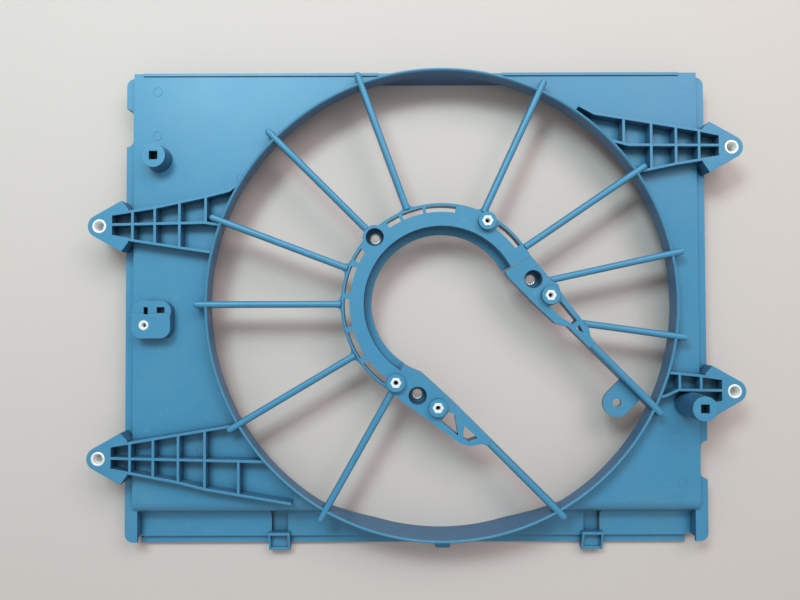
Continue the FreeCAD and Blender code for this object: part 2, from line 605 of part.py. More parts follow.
def grow_up(seat):
    """The plan area of a round seat, over the full height."""
    centre = seat.CenterOfMass
    radius = seat.BoundBox.XLength / 2
    return disc(centre.x, centre.y, radius, 0, BIG)


def make_spokes(hub_outline):
    """Ten spokes and two arm beams, each trimmed where it grows out of the hub."""
    crossing = []
    for number, angle in enumerate(sorted(SPOKE_ANGLES), 1):
        shape = keep_outer(spoke(angle, HUB_STEP_R).cut(hub_outline))
        crossing.append(shape)
        save(f"spoke_{number:02d}", shape)
    for name, line in (("arm_beam_upper", UPPER_ARM_V), ("arm_beam_lower", LOWER_ARM_V)):
        shape = keep_outer(arm_beam(line).cut(hub_outline))
        crossing.append(shape)
        save(name, shape)
    return crossing


def keep_outer(shape):
    """The piece of a trimmed spoke that reaches the ring."""
    return max(shape.Solids, key=lambda solid: solid.BoundBox.DiagonalLength)


# ---------------------------------------------------------------- metal parts

def tube(x, y, outer, bore, low, high):
    return disc(x, y, outer, low, high).cut(disc(x, y, bore, low - 1, high + 1))


def make_metal():
    for number, angle in enumerate(MOTOR_LIMITER_ANGLES, 1):
        x, y = polar(MOTOR_PCD / 2, angle)
        save(f"motor_limiter_{number}",
             tube(x, y, MOTOR_LIMITER_R, MOTOR_LIMITER_BORE_R, MOTOR_SEAT_Z, PAD_TOP + LIMITER_PROUD))
    for name, (x, y) in boss_places().items():
        save(name, tube(x, y, INSERT_R, INSERT_BORE_R, BOSS_TOP - INSERT_LENGTH, BOSS_TOP + LIMITER_PROUD))
    for name, (x, y) in EAR_HOLES.items():
        save(f"ear_limiter_{name}",
             tube(x, y, EAR_LIMITER_R, EAR_LIMITER_BORE_R, RAIL_TOP, EAR_TOP + LIMITER_PROUD))


# ---------------------------------------------------------------- ears and their rib frames

def height_at(line, x):
    """Where a rib line crosses the given x."""
    for (x0, y0), (x1, y1) in zip(line, line[1:]):
        if min(x0, x1) <= x <= max(x0, x1):
            return y0 + (y1 - y0) * (x - x0) / (x1 - x0)
    return line[-1][1]


def rib_frame(lines, low, high):
    shapes = [rib_line(lines[key], RIB_T, low, high) for key in ("top", "middle", "bottom")]
    for x, where in lines["cross"]:
        top = height_at(lines["top"], x) if where != "lower" else height_at(lines["middle"], x)
        bottom = height_at(lines["bottom"], x) if where != "upper" else height_at(lines["middle"], x)
        shapes.append(slab((x, bottom), (x, top), RIB_T, low, high))
    return join(shapes)


def ear_lines(name, inward):
    """The ear's rib lines as plan points, and its cross ribs as x values."""
    hole_x, hole_y = EAR_HOLES[name]
    given = EAR_RIBS[name]
    lines = {key: [(hole_x + inward * depth, hole_y + up) for depth, up in given[key]]
             for key in ("top", "middle", "bottom")}
    lines["cross"] = [(hole_x + inward * depth, where) for depth, where in given["cross"]]
    return lines


def make_ear(name, neighbours):
    """Winged nose round the bolt limiter, seated on the rail, and the ribs that spread its load."""
    hole_x, hole_y = EAR_HOLES[name]
    inward = 1 if hole_x < 0 else -1
    edge = hole_x + inward * EAR_OUT
    lines = ear_lines(name, inward)
    step_x = edge + inward * RAIL_W
    corner_x = edge + inward * WALL
    top_y, low_y = height_at(lines["top"], step_x), height_at(lines["bottom"], step_x)
    outline = [(hole_x - inward * EAR_NOSE_R * 0.4, hole_y), (corner_x, hole_y + EAR_WING),
               (step_x, top_y + RIB_T), (step_x, low_y - RIB_T), (corner_x, hole_y - EAR_WING)]
    nose = disc(hole_x, hole_y, EAR_NOSE_R, RAIL_TOP, EAR_TOP)
    body = join([prism(ear_outline(outline, hole_x, hole_y, inward), RAIL_TOP, EAR_TOP), nose])
    frame_x = hole_x + inward * EAR_FRAME_IN
    pocket = prism([(frame_x, height_at(lines["top"], frame_x)), (step_x, top_y), (step_x, low_y),
                    (frame_x, height_at(lines["bottom"], frame_x))], PANEL_TOP, BIG)
    ribs = rib_frame(lines, PANEL_TOP, EAR_TOP)
    on_ear = box(*sorted((frame_x, step_x)), -BIG, BIG, PANEL_TOP, EAR_TOP)
    ear = join([body.cut(pocket), ribs.common(on_ear)])
    ear = ear.cut(disc(hole_x, hole_y, EAR_LIMITER_R, 0, BIG))
    save(f"ear_{name}", ear.cut(neighbours))
    on_panel = box(*sorted((step_x, -step_x)), -BIG, BIG, PANEL_TOP, EAR_TOP)
    frame = ribs.common(on_panel).cut(disc(0, 0, RING_R, 0, BIG)).cut(neighbours)
    save(f"ear_ribs_{name}", frame)


def ear_outline(points, hole_x, hole_y, inward):
    """Wings run tangent from the nose to the corners on the rail."""
    tip, corner_a, inner_a, inner_b, corner_b = points
    tangent = []
    for corner in (corner_a, corner_b):
        dx, dy = corner[0] - hole_x, corner[1] - hole_y
        reach = math.hypot(dx, dy)
        lean = math.acos(EAR_NOSE_R / reach)
        base = math.atan2(dy, dx)
        side = inward if corner is corner_a else -inward
        angle = base + side * lean
        tangent.append((hole_x + EAR_NOSE_R * math.cos(angle), hole_y + EAR_NOSE_R * math.sin(angle)))
    return [tip, tangent[0], corner_a, inner_a, inner_b, corner_b, tangent[1]]


# ---------------------------------------------------------------- posts, bracket and cable tab

def post(x, y, top):
    """Drafted round post with a square socket in its top."""
    body = Part.makeCone(POST_BASE_R, POST_R, top - PANEL_TOP, Vector(x, y, PANEL_TOP))
    half = POST_SOCKET / 2
    return body.cut(box(x - half, x + half, y - half, y + half, top - POST_SOCKET_DEPTH, BIG))


def make_bracket():
    """Rounded block that carries the cable connector: insert below, two latch slots above."""
    x0, y0 = LEFT_EDGE + BRACKET_IN, BRACKET_LOW_Y
    x1, y1 = x0 + BRACKET_W, y0 + BRACKET_L
    block = rounded_prism([(x0, y0), (x1, y0), (x1, y1), (x0, y1)], [BRACKET_R] * 4, PANEL_TOP,
                          BRACKET_TOP)
    drop = box(x0, x1, y1 - BRACKET_LEDGE_L, y1, BRACKET_TOP - BRACKET_LEDGE_DROP, BIG)
    slots = join([box(x0 + x - w / 2, x0 + x + w / 2, y0 + y - h / 2, y0 + y + h / 2,
                      PANEL_TOP + WALL, BIG) for x, y, w, h in BRACKET_SLOTS])
    x, y = x0 + BRACKET_INSERT_IN[0], y0 + BRACKET_INSERT_IN[1]
    seat = disc(x, y, INSERT_R, PANEL_TOP, BIG)
    save("connector_bracket", block.cut(drop).cut(slots).cut(seat))
    save("bracket_insert", tube(x, y, INSERT_R, INSERT_BORE_R, PANEL_TOP, BRACKET_TOP + LIMITER_PROUD))


def make_cable_tab(beam):
    """Round-ended tab for the cable clip, on the inner side of the upper arm beam."""
    run = math.sqrt((RING_R + ARM_OVERRUN) ** 2 - UPPER_ARM_V ** 2) - CABLE_TAB_FROM_END
    low, high = SPOKE_TOP - ARM_DEPTH, SPOKE_TOP - ARM_DEPTH + CABLE_TAB_T
    root = [along_arm(run - CABLE_TAB_R, UPPER_ARM_V - CABLE_TAB_REACH),
            along_arm(run - CABLE_TAB_R, UPPER_ARM_V), along_arm(run + CABLE_TAB_R, UPPER_ARM_V),
            along_arm(run + CABLE_TAB_R, UPPER_ARM_V - CABLE_TAB_REACH)]
    x, y = along_arm(run, UPPER_ARM_V - CABLE_TAB_REACH)
    plate = join([prism(root, low, high), disc(x, y, CABLE_TAB_R, low, high)])
    hole = disc(x, y, CABLE_TAB_HOLE_R, 0, BIG)
    save("cable_tab", keep_outer(plate.cut(beam).cut(hole)))


def main():
    os.makedirs("parts", exist_ok=True)
    make_panels()
    make_top_walls()
    make_rail("left", LEFT_EDGE, 1, RING_R - SCALLOP_FROM_TOP)
    make_rail("right", RIGHT_EDGE, -1, SCALLOP_FROM_BOTTOM - RING_R)
    make_channel()
    for name, centre in CLIP_PLACES.items():
        make_clip(name, centre)
    make_locating_tab()
    hub_outline = make_motor_mount()
    crossing = make_spokes(hub_outline)
    make_ring(crossing)
    make_metal()
    for name, place in POSTS.items():
        save(name, post(*place))
    posts = [disc(x, y, POST_BASE_R, 0, BIG) for x, y, _ in POSTS.values()]
    for name in EAR_HOLES:
        make_ear(name, join(posts + crossing))
    make_bracket()
    make_cable_tab(crossing[-2])


main()
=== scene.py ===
"""Finishes, small fittings, light and camera for the radiator fan shroud."""
import logging
import math
from dataclasses import dataclass, field
from enum import Enum
from typing import Any, Callable, Iterable, Optional, Union

import bpy
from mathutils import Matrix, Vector


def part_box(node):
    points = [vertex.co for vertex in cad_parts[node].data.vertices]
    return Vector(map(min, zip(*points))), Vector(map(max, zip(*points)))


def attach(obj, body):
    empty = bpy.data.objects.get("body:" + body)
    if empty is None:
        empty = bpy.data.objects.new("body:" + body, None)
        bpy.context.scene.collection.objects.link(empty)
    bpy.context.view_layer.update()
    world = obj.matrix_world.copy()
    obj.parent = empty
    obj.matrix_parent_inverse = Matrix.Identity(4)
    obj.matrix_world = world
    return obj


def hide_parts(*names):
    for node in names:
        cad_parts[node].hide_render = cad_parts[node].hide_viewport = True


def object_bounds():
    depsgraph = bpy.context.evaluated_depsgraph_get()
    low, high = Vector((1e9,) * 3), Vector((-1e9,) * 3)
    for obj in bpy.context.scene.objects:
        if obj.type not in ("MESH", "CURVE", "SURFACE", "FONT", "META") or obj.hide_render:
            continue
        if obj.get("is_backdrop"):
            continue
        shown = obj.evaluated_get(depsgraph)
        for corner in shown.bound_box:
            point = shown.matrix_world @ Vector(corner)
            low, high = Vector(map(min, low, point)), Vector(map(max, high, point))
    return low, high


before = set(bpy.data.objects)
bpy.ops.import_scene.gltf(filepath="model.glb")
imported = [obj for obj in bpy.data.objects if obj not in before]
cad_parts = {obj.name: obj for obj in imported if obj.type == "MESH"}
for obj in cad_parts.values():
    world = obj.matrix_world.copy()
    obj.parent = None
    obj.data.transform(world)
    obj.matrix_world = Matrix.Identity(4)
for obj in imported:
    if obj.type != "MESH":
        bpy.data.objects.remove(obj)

log = logging.getLogger("shroud")

MM = 0.001
BODY = "root"
Colour = tuple[float, float, float]
Ring = list[tuple[float, float]]
Span = tuple[float, float]


def as_colour(colour: Colour) -> tuple[float, float, float, float]:
    """Returns the colour with full opacity added."""
    return (colour[0], colour[1], colour[2], 1.0)


# ------------------------------------------------------------------ shader expressions


class Value:
    """A number that varies over a surface and takes part in Python arithmetic."""

    def __init__(self, graph: "Graph", socket: bpy.types.NodeSocket) -> None:
        """Wraps one output socket.

        Args:
            graph: The graph that the socket belongs to.
            socket: The output socket that carries the number.
        """
        self.graph = graph
        self.socket = socket

    def _math(self, operation: str, first: "Term", second: "Term") -> "Value":
        """Adds one Math node.

        Args:
            operation: Blender's name of the operation.
            first: Left operand.
            second: Right operand.

        Returns:
            The node's result.
        """
        node = self.graph.node("ShaderNodeMath", {"operation": operation}, {0: first, 1: second})
        return Value(self.graph, node.outputs[0])

    def __add__(self, other: "Term") -> "Value":
        """Returns self + other."""
        return self._math("ADD", self, other)

    def __radd__(self, other: "Term") -> "Value":
        """Returns other + self."""
        return self._math("ADD", other, self)

    def __sub__(self, other: "Term") -> "Value":
        """Returns self - other."""
        return self._math("SUBTRACT", self, other)

    def __rsub__(self, other: "Term") -> "Value":
        """Returns other - self."""
        return self._math("SUBTRACT", other, self)

    def __mul__(self, other: "Term") -> "Value":
        """Returns self * other."""
        return self._math("MULTIPLY", self, other)

    def __rmul__(self, other: "Term") -> "Value":
        """Returns other * self."""
        return self._math("MULTIPLY", other, self)

    def limited(self) -> "Value":
        """Returns self kept between 0 and 1."""
        return self._math("MINIMUM", self._math("MAXIMUM", self, 0.0), 1.0)


Term = Union[Value, float]


@dataclass(frozen=True)
class Pattern:
    """A soft random pattern: waves per metre, octaves and the strength of the finer ones."""

    waves: float
    octaves: float
    strength: float = 0.5


class Graph:
    """The nodes of one material."""

    def __init__(self, name: str) -> None:
        """Starts a material with an empty node tree.

        Args:
            name: Name of the material.
        """
        self.material = bpy.data.materials.new(name)
        self.material.use_nodes = True
        self.tree = self.material.node_tree
        self.tree.nodes.clear()

    def node(self, kind: str, settings: Optional[dict[str, Any]] = None,
             inputs: Optional[dict[Union[int, str], Any]] = None) -> bpy.types.Node:
        """Adds a node of any type.

        Args:
            kind: Blender's type name of the node.
            settings: Attributes, which are set first.
            inputs: Values or links for its sockets, by name or number.

        Returns:
            The new node.
        """
        made = self.tree.nodes.new(kind)
        for key, value in (settings or {}).items():
            setattr(made, key, value)
        for key, value in (inputs or {}).items():
            socket = made.inputs[key]
            if isinstance(value, Value):
                self.tree.links.new(value.socket, socket)
            elif isinstance(value, bpy.types.NodeSocket):
                self.tree.links.new(value, socket)
            else:
                socket.default_value = value
        return made

    def value(self, node: bpy.types.Node, output: Union[int, str] = 0) -> Value:
        """Returns one output of a node as a value."""
        return Value(self, node.outputs[output])

    def place(self) -> bpy.types.NodeSocket:
        """Returns the point on the object, in metres."""
        return self.node("ShaderNodeTexCoord").outputs["Object"]

    def upward(self) -> Value:
        """Returns how far a face looks up: 1 on a level face, 0 on a wall."""
        normal = self.node("ShaderNodeNewGeometry").outputs["Normal"]
        parts = self.node("ShaderNodeSeparateXYZ", None, {"Vector": normal})
        return self.value(parts, "Z")

    def agreement(self, normal: bpy.types.NodeSocket) -> Value:
        """Returns 1 where a normal equals the face's own, and less where it leans away."""
        own = self.node("ShaderNodeNewGeometry").outputs["Normal"]
        product = self.node("ShaderNodeVectorMath", {"operation": "DOT_PRODUCT"},
                            {0: normal, 1: own})
        return self.value(product, "Value")

    def noise(self, place: bpy.types.NodeSocket, pattern: Pattern) -> Value:
        """Adds a soft random pattern.

        Args:
            place: Point that the pattern is taken at.
            pattern: Its fineness and strength.

        Returns:
            The pattern, about 0.5 on average.
        """
        node = self.node("ShaderNodeTexNoise", None,
                         {"Vector": place, "Scale": pattern.waves, "Detail": pattern.octaves,
                          "Roughness": pattern.strength})
        return self.value(node, "Fac")

    def steps(self, value: Value, limits: Span) -> Value:
        """Adds a smooth change from 0 to 1.

        Args:
            value: The value that decides.
            limits: Where the change starts and ends.

        Returns:
            0 below the first limit, 1 above the second.
        """
        node = self.node("ShaderNodeMapRange", {"interpolation_type": "SMOOTHSTEP"},
                         {"Value": value, "From Min": limits[0], "From Max": limits[1]})
        return self.value(node, "Result")

    def blend(self, first: Any, second: Any, factor: Term) -> bpy.types.NodeSocket:
        """Mixes two colours.

        Args:
            first: Colour or link where the factor is 0.
            second: Colour or link where the factor is 1.
            factor: Share of the second colour.

        Returns:
            The mixed colour.
        """
        ends = [end if isinstance(end, bpy.types.NodeSocket) else as_colour(end)
                for end in (first, second)]
        node = self.node("ShaderNodeMix", {"data_type": "RGBA"},
                         {0: factor, 6: ends[0], 7: ends[1]})
        return node.outputs[2]

    def finish(self, inputs: dict[str, Any]) -> bpy.types.Material:
        """Adds the surface shader and the output.

        Args:
            inputs: Values or links of the shader's sockets.

        Returns:
            The finished material.
        """
        shader = self.node("ShaderNodeBsdfPrincipled", None, inputs)
        self.node("ShaderNodeOutputMaterial", None, {"Surface": shader.outputs[0]})
        return self.material


# ------------------------------------------------------------------ finishes


class Edge(Enum):
    """How the corners of a moulded piece catch the light."""

    FLUSH = "flush"
    TURNED = "turned"


@dataclass(frozen=True)
class MouldedPlastic:
    """Glass-filled plastic with a fine spark-eroded grain and a soft sheen."""

    name: str
    # These colours hold a painted sky reflection: the plastic is near black, and their blue-grey
    # stands in for the sky light it reflects. The random spread between pale and deep is its own
    # tone.
    pale: Colour = (0.053, 0.245, 0.405)
    deep: Colour = (0.038, 0.182, 0.305)
    film: Colour = (0.066, 0.225, 0.335)
    # Real scuffs use this colour, and so does a painted highlight along the upper edges of formed
    # pieces.
    wear_and_edge_highlight: Colour = (0.170, 0.370, 0.520)
    # Painted shade: walls and other steep faces take this darker colour, since they reflect less of
    # the bright sky than level faces.
    wall: Colour = (0.030, 0.105, 0.200)
    # Painted shade: hollows and corners take this near-black colour.
    painted_recess_shade: Colour = (0.010, 0.028, 0.045)
    roughness: float = 0.40
    flow_roughness: float = 0.10
    scuff_roughness: float = 0.12
    reflection: float = 0.42
    sheen: float = 0.08
    sheen_roughness: float = 0.3
    cloud_pattern: Pattern = Pattern(9.0, 3.0)
    flow_pattern: Pattern = Pattern(38.0, 4.0, 0.62)
    speck_pattern: Pattern = Pattern(620.0, 1.0)
    grain_pattern: Pattern = Pattern(1400.0, 1.0)
    scuff_pattern: Pattern = Pattern(160.0, 5.0, 0.7)
    bloom_pattern: Pattern = Pattern(24.0, 5.0, 0.65)
    scuff_limits: Span = (0.56, 0.75)
    bloom_limits: Span = (0.42, 0.72)
    facing_limits: Span = (0.1, 0.85)
    open_limits: Span = (0.0, 0.62)
    painted_highlight_limits: Span = (0.02, 0.22)
    tone_shares: tuple[float, float, float] = (0.55, 0.35, 0.25)
    tone_offset: float = 0.07
    bloom_share: float = 0.55
    scuff_share: float = 0.18
    painted_highlight_share: float = 0.45
    painted_shade_reach: float = 0.009
    grain_depth: float = 0.00004
    grain_strength: float = 0.5
    speck_height: float = 0.6
    edge: Edge = Edge.TURNED
    edge_radius: float = 0.0006
    samples: int = 4

    def make(self) -> bpy.types.Material:
        """Returns the material: clouded colour, painted shade on walls and in recesses, a painted
        highlight on upper edges, flow marks, scuffs and grain.
        """
        graph = Graph(self.name)
        place = graph.place()
        clouds = graph.noise(place, self.cloud_pattern)
        flow = graph.noise(place, self.flow_pattern)
        speck = graph.noise(place, self.speck_pattern)
        grain = graph.noise(place, self.grain_pattern)
        of_clouds, of_flow, of_speck = self.tone_shares
        tone = (of_clouds * clouds + of_flow * flow + of_speck * speck - self.tone_offset).limited()
        plain = graph.blend(self.deep, self.pale, tone)
        scuffs = graph.steps(graph.noise(place, self.scuff_pattern), self.scuff_limits)
        bloom = graph.steps(graph.noise(place, self.bloom_pattern), self.bloom_limits)
        plain = graph.blend(plain, self.film, self.bloom_share * bloom)
        plain = graph.blend(plain, self.wear_and_edge_highlight, self.scuff_share * scuffs)
        # Painted shade: faces that lean away from level blend towards the darker wall colour.
        facing = graph.steps(graph.upward(), self.facing_limits)
        shaded_walls = graph.blend(self.wall, plain, facing)
        # Painted shade: corners and hollows found by ambient occlusion blend towards the near-black
        # recess colour.
        shade = graph.node("ShaderNodeAmbientOcclusion",
                           {"samples": self.samples, "only_local": False},
                           {"Distance": self.painted_shade_reach})
        open_air = graph.steps(graph.value(shade, "AO"), self.open_limits)
        colour = graph.blend(self.painted_recess_shade, shaded_walls, open_air)
        rough = (self.roughness + self.flow_roughness * (flow - 0.5)
                 + self.scuff_roughness * scuffs).limited()
        inputs: dict[str, Any] = {"Distance": self.grain_depth, "Strength": self.grain_strength,
                                  "Height": grain + self.speck_height * speck}
        if self.edge is Edge.TURNED:
            round_off = graph.node("ShaderNodeBevel", {"samples": self.samples},
                                   {"Radius": self.edge_radius})
            inputs["Normal"] = round_off.outputs[0]
            # Painted highlight: convex edges of upward faces are lightened where the rounded
            # shading leans away from the face.
            painted_edge_highlight = graph.steps(1.0 - graph.agreement(round_off.outputs[0]),
                                 self.painted_highlight_limits)
            colour = graph.blend(colour, self.wear_and_edge_highlight, self.painted_highlight_share * painted_edge_highlight * facing)
        bump = graph.node("ShaderNodeBump", None, inputs)
        return graph.finish({"Base Color": colour, "Roughness": rough, "Normal": bump.outputs[0],
                             "Specular IOR Level": self.reflection, "Coat Weight": self.sheen,
                             "Coat Roughness": self.sheen_roughness})


@dataclass(frozen=True)
class TurnedMetal:
    """Bright plated metal with fine tool marks and dulled patches."""

    name: str
    bright: Colour = (0.92, 0.92, 0.90)
    dull: Colour = (0.66, 0.65, 0.62)
    metallic: float = 0.4
    roughness: float = 0.3
    patch_roughness: float = 0.18
    patch_pattern: Pattern = Pattern(420.0, 3.0, 0.6)
    patch_limits: Span = (0.45, 0.7)
    patch_share: float = 0.6
    mark_pattern: Pattern = Pattern(5200.0, 1.0)
    mark_depth: float = 0.00002
    mark_strength: float = 0.4

    def make(self) -> bpy.types.Material:
        """Returns the material: plated colour, dulled patches, tool marks."""
        graph = Graph(self.name)
        place = graph.place()
        patches = graph.steps(graph.noise(place, self.patch_pattern), self.patch_limits)
        colour = graph.blend(self.bright, self.dull, patches * self.patch_share)
        marks = graph.noise(place, self.mark_pattern)
        rough = (self.roughness + self.patch_roughness * patches).limited()
        bump = graph.node("ShaderNodeBump", None,
                          {"Distance": self.mark_depth, "Strength": self.mark_strength,
                           "Height": marks})
        return graph.finish({"Base Color": colour, "Metallic": self.metallic, "Roughness": rough,
                             "Normal": bump.outputs[0]})


@dataclass(frozen=True)
class PaleFloor:
    """Matt floor that stays pale behind the object and keeps its shadow."""

    name: str = "pale_floor"
    colour: Colour = (0.57, 0.49, 0.45)
    lift: float = 1.03
    drift_pattern: Pattern = Pattern(3.0, 2.0)
    roughness: float = 0.9
    reflection: float = 0.1

    def make(self) -> bpy.types.Material:
        """Returns the floor's material."""
        graph = Graph(self.name)
        drift = graph.noise(graph.place(), self.drift_pattern)
        red, green, blue = self.colour
        paler: Colour = (red * self.lift, green * self.lift, blue * self.lift)
        return graph.finish({"Base Color": graph.blend(self.colour, paler, drift),
                             "Roughness": self.roughness,
                             "Specular IOR Level": self.reflection})


# ------------------------------------------------------------------ meshes


def surface_of_turning(profile: Ring, centre: Vector, sides: int = 48,
                       reach: Optional[Callable[[float, float], float]] = None) -> bpy.types.Mesh:
    """Turns a closed profile about an upright axis.

    Args:
        profile: Closed loop of radius and height, in metres.
        centre: Where the axis meets height 0.
        sides: Number of steps round the axis.
        reach: Scales a radius, given the radius and the angle; None leaves it round.

    Returns:
        The closed mesh.
    """
    points: list[tuple[float, float, float]] = []
    for step in range(sides):
        angle = 2 * math.pi * step / sides
        for radius, height in profile:
            grown = radius if reach is None else radius * reach(radius, angle)
            points.append((centre.x + grown * math.cos(angle), centre.y + grown * math.sin(angle),
                           centre.z + height))
    count = len(profile)
    faces = []
    for step in range(sides):
        here, there = step * count, (step + 1) % sides * count
        for i in range(count):
            j = (i + 1) % count
            faces.append((here + i, there + i, there + j, here + j))
    mesh = bpy.data.meshes.new("turned")
    mesh.from_pydata(points, [], faces)
    mesh.validate()
    mesh.update()
    return mesh


def join_meshes(meshes: Iterable[bpy.types.Mesh]) -> bpy.types.Mesh:
    """Puts several meshes into one.

    Args:
        meshes: The meshes to join.

    Returns:
        One mesh with all their faces.
    """
    points: list[tuple[float, float, float]] = []
    faces: list[tuple[int, ...]] = []
    for mesh in meshes:
        start = len(points)
        points.extend(tuple(vertex.co) for vertex in mesh.vertices)
        faces.extend(tuple(start + i for i in polygon.vertices) for polygon in mesh.polygons)
    whole = bpy.data.meshes.new("joined")
    whole.from_pydata(points, [], faces)
    whole.validate()
    whole.update()
    return whole


def add_piece(name: str, mesh: bpy.types.Mesh, finish: bpy.types.Material,
              smooth_angle: float = 35.0) -> bpy.types.Object:
    """Adds a piece to the object.

    Args:
        name: Name of the piece.
        mesh: Its mesh, in place.
        finish: Its material.
        smooth_angle: Edges flatter than this are shaded smooth, in degrees.

    Returns:
        The new piece.
    """
    piece = bpy.data.objects.new(name, mesh)
    bpy.context.scene.collection.objects.link(piece)
    mesh.materials.append(finish)
    mesh.shade_smooth()
    mesh.set_sharp_from_angle(angle=math.radians(smooth_angle))
    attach(piece, BODY)
    log.info("piece %s: %d faces", name, len(mesh.polygons))
    return piece


# ------------------------------------------------------------------ sub-assemblies


@dataclass
class Moulding:
    """The plastic shroud itself: every moulded node with the finish that suits it."""

    flush_nodes: tuple[str, ...] = ("panel_left", "panel_right", "side_rail_left",
                                    "side_rail_right", "channel_left", "channel_right",
                                    "top_wall_left", "top_wall_right", "top_wall_centre",
                                    "skirt_left", "skirt_right", "bottom_lip", "motor_mount",
                                    "hub_flange", "arm_plate_upper", "arm_plate_lower")
    metal_words: tuple[str, ...] = ("limiter", "insert")

    def dress(self) -> None:
        """Gives each moulded node its finish."""
        flush = MouldedPlastic("shroud_plastic_flat", edge=Edge.FLUSH).make()
        turned = MouldedPlastic("shroud_plastic_formed").make()
        for name, node in sorted(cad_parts.items()):
            if any(word in name for word in self.metal_words):
                continue
            node.data.materials.clear()
            node.data.materials.append(flush if name in self.flush_nodes else turned)
            log.info("dressed %s", name)


@dataclass
class EjectorMarks:
    """Low round witness marks that the mould's ejector pins leave on the panels."""

    panel_places: list[tuple[float, float]] = field(default_factory=lambda: [
        (-204.0, 154.0), (-204.0, 122.0), (-144.0, 91.0), (-152.0, -77.0), (-172.0, -104.0),
        (172.0, -128.0)])
    radius: float = 3.3
    rim: float = 0.35
    height: float = 0.12
    sunk: float = 0.1
    crest: float = 0.1
    shoulder: float = 0.6
    sides: int = 40

    def build(self, finish: bpy.types.Material) -> None:
        """Builds the marks as one piece.

        Args:
            finish: The panel's plastic.
        """
        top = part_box("panel_left")[1].z
        low, high = -self.sunk * MM, self.height * MM
        crest, shoulder = self.crest * MM, high * self.shoulder
        outer, inner = self.radius * MM, (self.radius - self.rim) * MM
        meshes = []
        for x, y in self.panel_places:
            profile = [(inner, low), (outer, low), (outer, shoulder),
                       (outer - crest, high), (inner + crest, high), (inner, shoulder)]
            centre = Vector((x * MM, y * MM, top))
            meshes.append(surface_of_turning(profile, centre, self.sides))
        add_piece("ejector_marks", join_meshes(meshes), finish)


@dataclass
class SpokeFillets:
    """Small fillets on both sides of five spokes, where they leave the hub."""

    angles: tuple[float, ...] = (65.1, 110.0, 159.2, 180.0, 210.5)
    hub: float = 71.0
    half_width: float = 2.4
    radius: float = 4.0
    sunk: float = 0.5
    low: float = 6.6
    high: float = 13.6
    steps: int = 8

    def outline(self, side: int) -> list[tuple[float, float]]:
        """Sets out one fillet beside a spoke that points along X.

        Args:
            side: 1 for the left of the spoke, -1 for the right.

        Returns:
            Its plan outline, anticlockwise, in millimetres.
        """
        centre = (self.hub + self.radius, self.half_width + self.radius)
        arc = []
        for step in range(self.steps + 1):
            turn = math.pi / 2 * step / self.steps
            arc.append((centre[0] - self.radius * math.sin(turn),
                        centre[1] - self.radius * math.cos(turn)))
        inner = self.half_width - self.sunk
        points = arc + [(self.hub - self.sunk, centre[1]), (self.hub - self.sunk, inner),
                        (centre[0], inner)]
        return points if side > 0 else [(x, -y) for x, y in reversed(points)]

    def build(self, finish: bpy.types.Material) -> None:
        """Builds all the fillets as one piece.

        Args:
            finish: The moulding's plastic.
        """
        points: list[tuple[float, float, float]] = []
        faces: list[tuple[int, ...]] = []
        for angle in self.angles:
            cosine, sine = math.cos(math.radians(angle)), math.sin(math.radians(angle))
            for side in (1, -1):
                outline = self.outline(side)
                count, start = len(outline), len(points)
                for height in (self.low, self.high):
                    points.extend(((x * cosine - y * sine) * MM, (x * sine + y * cosine) * MM,
                                   height * MM) for x, y in outline)
                faces.append(tuple(start + i for i in reversed(range(count))))
                faces.append(tuple(start + count + i for i in range(count)))
                for i in range(count):
                    j = (i + 1) % count
                    faces.append((start + i, start + j, start + count + j, start + count + i))
        mesh = bpy.data.meshes.new("fillets")
        mesh.from_pydata(points, [], faces)
        mesh.validate()
        mesh.update()
        add_piece("spoke_fillets", mesh, finish)


@dataclass
class SteelSleeves:
    """Compression limiters: turned sleeves with broken edges."""

    chamfer: float = 0.45
    outer_break: float = 0.4
    top_break: float = 0.3
    nodes: tuple[str, ...] = ("ear_limiter_upper_left", "ear_limiter_lower_left",
                              "ear_limiter_upper_right", "ear_limiter_lower_right",
                              "motor_limiter_1", "motor_limiter_2", "motor_limiter_3")
    bores: dict[str, float] = field(default_factory=lambda: {"ear": 3.5, "motor": 2.8})

    def build(self, finish: bpy.types.Material) -> None:
        """Builds each sleeve in the place of its plain node.

        Args:
            finish: The sleeves' steel.
        """
        cut = self.chamfer * MM
        for node in self.nodes:
            low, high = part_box(node)
            outer = (high.x - low.x) / 2
            bore = self.bores[node.split("_")[0]] * MM
            height = high.z - low.z
            shoulder = height - cut * self.top_break
            profile = [(bore, cut), (bore + cut, 0.0), (outer - cut, 0.0), (outer, cut),
                       (outer, height - cut), (outer - cut * self.outer_break, shoulder),
                       (outer - cut, height), (bore + cut, height),
                       (bore + cut * self.top_break, shoulder), (bore, height - cut)]
            centre = Vector(((low.x + high.x) / 2, (low.y + high.y) / 2, low.z))
            mesh = surface_of_turning(profile, centre)
            piece = add_piece(f"{node}_sleeve", mesh, finish)
            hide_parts(node)


